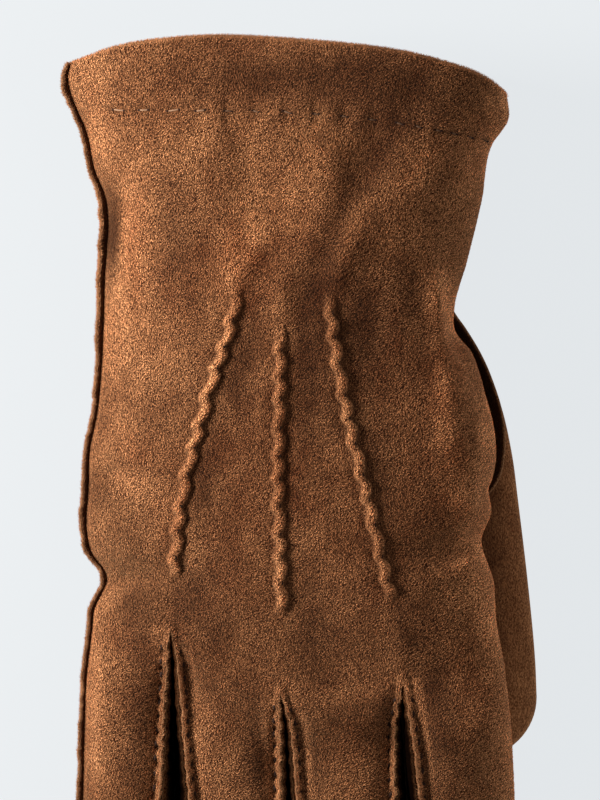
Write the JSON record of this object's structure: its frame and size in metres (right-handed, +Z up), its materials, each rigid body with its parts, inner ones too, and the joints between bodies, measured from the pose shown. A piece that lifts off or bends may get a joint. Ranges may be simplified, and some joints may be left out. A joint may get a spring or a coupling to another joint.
{
  "type": "suede glove",
  "caption": "Right-hand suede dress glove, lying palm down and still full: flared cuff with a stitched hem, sewn points on the back, outseamed fingers and thumb.",
  "frame": {"origin": "on the flat face under the palm, where the glove rests, midway across it and 91 mm from the cuff's edge", "axes": "+Y from the fingertips to the cuff, +X towards the thumb side, +Z up out of the back of the hand"},
  "size_m": [0.1184, 0.249, 0.0341],
  "materials": {
    "suede": "napped suede, tan to dark brown"
  },
  "bodies": {
    "root": {"trank": "suede", "thumb": "suede", "fourchette_little_ring": "suede", "fourchette_ring_middle": "suede", "fourchette_middle_index": "suede"}
  },
  "joints": []
}
